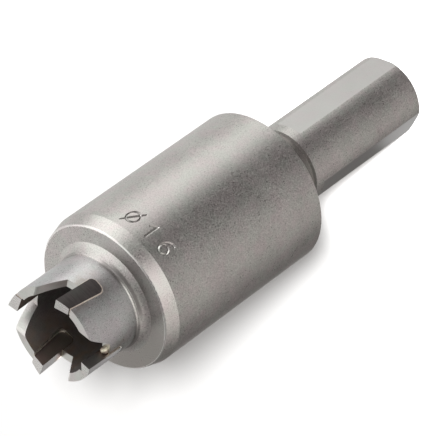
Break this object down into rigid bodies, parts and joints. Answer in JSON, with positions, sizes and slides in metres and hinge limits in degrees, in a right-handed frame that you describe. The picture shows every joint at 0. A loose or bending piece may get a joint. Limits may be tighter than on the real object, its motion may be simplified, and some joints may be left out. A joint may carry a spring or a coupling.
{
  "type": "drill bit",
  "caption": "Tubular drill bit with carbide teeth brazed into the rim of its short hollow cutting tube, on a wide stop body with a flatted straight shank.",
  "frame": {"origin": "centre of the shank's end face, on which the bit stands", "axes": "+Z along the bit's axis from the shank to the cutting teeth; +X through the cutting face of the first tooth"},
  "size_m": [0.025, 0.025, 0.0779],
  "materials": {
    "steel": "satin, fine-blasted, with ground flats and rim",
    "carbide": "ground, with a dull gloss",
    "braze": "as brazed, slightly stained by heat"
  },
  "bodies": {
    "root": {"steel_body": "steel", "carbide_tip_1": "carbide", "carbide_tip_2": "carbide", "carbide_tip_3": "carbide", "carbide_tip_4": "carbide", "braze_joint_1": "braze", "braze_joint_2": "braze", "braze_joint_3": "braze", "braze_joint_4": "braze"}
  },
  "joints": []
}
